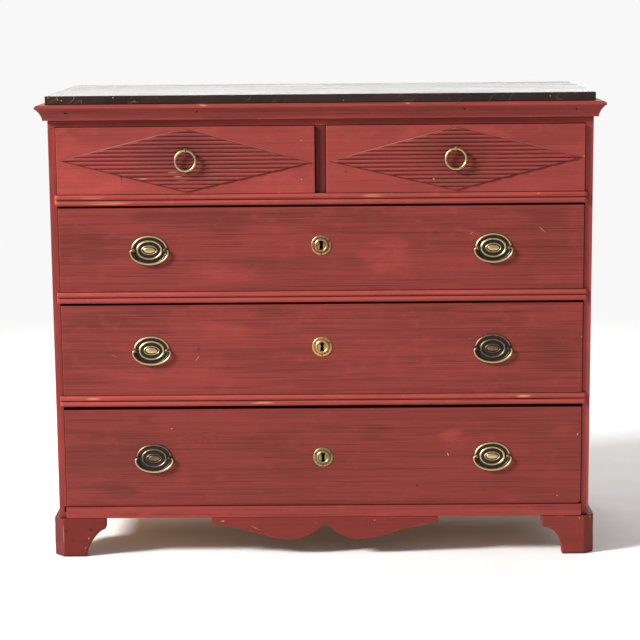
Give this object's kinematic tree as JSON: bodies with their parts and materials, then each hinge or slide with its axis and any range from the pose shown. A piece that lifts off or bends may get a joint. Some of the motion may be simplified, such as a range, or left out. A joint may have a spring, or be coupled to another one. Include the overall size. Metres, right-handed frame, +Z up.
{
  "type": "chest of drawers",
  "caption": "Painted chest of drawers with a dark marbled top, carved lozenges and ring pulls on small upper drawers, oval bail handles on long drawers, and bracket feet.",
  "frame": {"origin": "on the floor, at the middle of the bounding box's base", "axes": "+X to the viewer's right as seen from the front, front towards -Y, +Z up"},
  "size_m": [1.198, 0.507, 0.9985],
  "materials": {
    "case_paint": "aged matt oil paint, worn to lighter wood on the edges",
    "long_drawer_paint": "aged matt oil paint, worn to lighter wood on the edges",
    "small_drawer_paint": "aged matt oil paint, worn to lighter wood on the edges",
    "bare_pine": "bare planed pine",
    "marbled_paint": "dark marbled paint under gloss varnish",
    "aged_brass": "worn and patinated"
  },
  "bodies": {
    "case": {"side_left": "case_paint", "side_right": "case_paint", "back_panel": "bare_pine", "bottom_board": "case_paint", "rail_lower": "case_paint", "rail_middle": "case_paint", "rail_upper": "case_paint", "drawer_partition": "case_paint", "frieze_rail": "case_paint", "cornice_front": "case_paint", "cornice_left": "case_paint", "cornice_right": "case_paint", "marbled_top": "marbled_paint", "apron": "case_paint", "foot_front_left": "case_paint", "foot_front_right": "case_paint"},
    "drawer_small_left": {"drawer_small_left_front": "small_drawer_paint", "drawer_small_left_side_left": "bare_pine", "drawer_small_left_side_right": "bare_pine", "drawer_small_left_back": "bare_pine", "drawer_small_left_bottom": "bare_pine", "drawer_small_left_ring_eye": "aged_brass"},
    "drawer_small_left_ring": {"drawer_small_left_ring_pull": "aged_brass"},
    "drawer_small_right": {"drawer_small_right_front": "small_drawer_paint", "drawer_small_right_side_left": "bare_pine", "drawer_small_right_side_right": "bare_pine", "drawer_small_right_back": "bare_pine", "drawer_small_right_bottom": "bare_pine", "drawer_small_right_ring_eye": "aged_brass"},
    "drawer_small_right_ring": {"drawer_small_right_ring_pull": "aged_brass"},
    "drawer_upper": {"drawer_upper_front": "long_drawer_paint", "drawer_upper_side_left": "bare_pine", "drawer_upper_side_right": "bare_pine", "drawer_upper_back": "bare_pine", "drawer_upper_bottom": "bare_pine", "drawer_upper_escutcheon": "aged_brass", "drawer_upper_plate_left": "aged_brass", "drawer_upper_plate_right": "aged_brass"},
    "drawer_upper_bail_left": {"drawer_upper_bail_left": "aged_brass"},
    "drawer_upper_bail_right": {"drawer_upper_bail_right": "aged_brass"},
    "drawer_middle": {"drawer_middle_front": "long_drawer_paint", "drawer_middle_side_left": "bare_pine", "drawer_middle_side_right": "bare_pine", "drawer_middle_back": "bare_pine", "drawer_middle_bottom": "bare_pine", "drawer_middle_escutcheon": "aged_brass", "drawer_middle_plate_left": "aged_brass", "drawer_middle_plate_right": "aged_brass"},
    "drawer_middle_bail_left": {"drawer_middle_bail_left": "aged_brass"},
    "drawer_middle_bail_right": {"drawer_middle_bail_right": "aged_brass"},
    "drawer_lower": {"drawer_lower_front": "long_drawer_paint", "drawer_lower_side_left": "bare_pine", "drawer_lower_side_right": "bare_pine", "drawer_lower_back": "bare_pine", "drawer_lower_bottom": "bare_pine", "drawer_lower_escutcheon": "aged_brass", "drawer_lower_plate_left": "aged_brass", "drawer_lower_plate_right": "aged_brass"},
    "drawer_lower_bail_left": {"drawer_lower_bail_left": "aged_brass"},
    "drawer_lower_bail_right": {"drawer_lower_bail_right": "aged_brass"}
  },
  "joints": [
    {"name": "drawer_small_left_slide", "type": "slide", "parent": "case", "child": "drawer_small_left", "axis": [0, -1, 0], "range_m": [0, 0.33]},
    {"name": "drawer_small_left_ring_hinge", "type": "hinge", "parent": "drawer_small_left", "child": "drawer_small_left_ring", "pos_m": [-0.28475, -0.2467, 0.8827], "axis": [-1, 0, 0], "range_deg": [0, 110]},
    {"name": "drawer_small_right_slide", "type": "slide", "parent": "case", "child": "drawer_small_right", "axis": [0, -1, 0], "range_m": [0, 0.33]},
    {"name": "drawer_small_right_ring_hinge", "type": "hinge", "parent": "drawer_small_right", "child": "drawer_small_right_ring", "pos_m": [0.28475, -0.2467, 0.8827], "axis": [-1, 0, 0], "range_deg": [0, 110]},
    {"name": "drawer_upper_slide", "type": "slide", "parent": "case", "child": "drawer_upper", "axis": [0, -1, 0], "range_m": [0, 0.33]},
    {"name": "drawer_upper_bail_left_hinge", "type": "hinge", "parent": "drawer_upper", "child": "drawer_upper_bail_left", "pos_m": [-0.3655, -0.2395, 0.6714], "axis": [-1, 0, 0], "range_deg": [0, 110]},
    {"name": "drawer_upper_bail_right_hinge", "type": "hinge", "parent": "drawer_upper", "child": "drawer_upper_bail_right", "pos_m": [0.3655, -0.2395, 0.6714], "axis": [-1, 0, 0], "range_deg": [0, 110]},
    {"name": "drawer_middle_slide", "type": "slide", "parent": "case", "child": "drawer_middle", "axis": [0, -1, 0], "range_m": [0, 0.33]},
    {"name": "drawer_middle_bail_left_hinge", "type": "hinge", "parent": "drawer_middle", "child": "drawer_middle_bail_left", "pos_m": [-0.3655, -0.2395, 0.45435], "axis": [-1, 0, 0], "range_deg": [0, 110]},
    {"name": "drawer_middle_bail_right_hinge", "type": "hinge", "parent": "drawer_middle", "child": "drawer_middle_bail_right", "pos_m": [0.3655, -0.2395, 0.45435], "axis": [-1, 0, 0], "range_deg": [0, 110]},
    {"name": "drawer_lower_slide", "type": "slide", "parent": "case", "child": "drawer_lower", "axis": [0, -1, 0], "range_m": [0, 0.33]},
    {"name": "drawer_lower_bail_left_hinge", "type": "hinge", "parent": "drawer_lower", "child": "drawer_lower_bail_left", "pos_m": [-0.3655, -0.2395, 0.21755], "axis": [-1, 0, 0], "range_deg": [0, 110]},
    {"name": "drawer_lower_bail_right_hinge", "type": "hinge", "parent": "drawer_lower", "child": "drawer_lower_bail_right", "pos_m": [0.3655, -0.2395, 0.21755], "axis": [-1, 0, 0], "range_deg": [0, 110]}
  ]
}
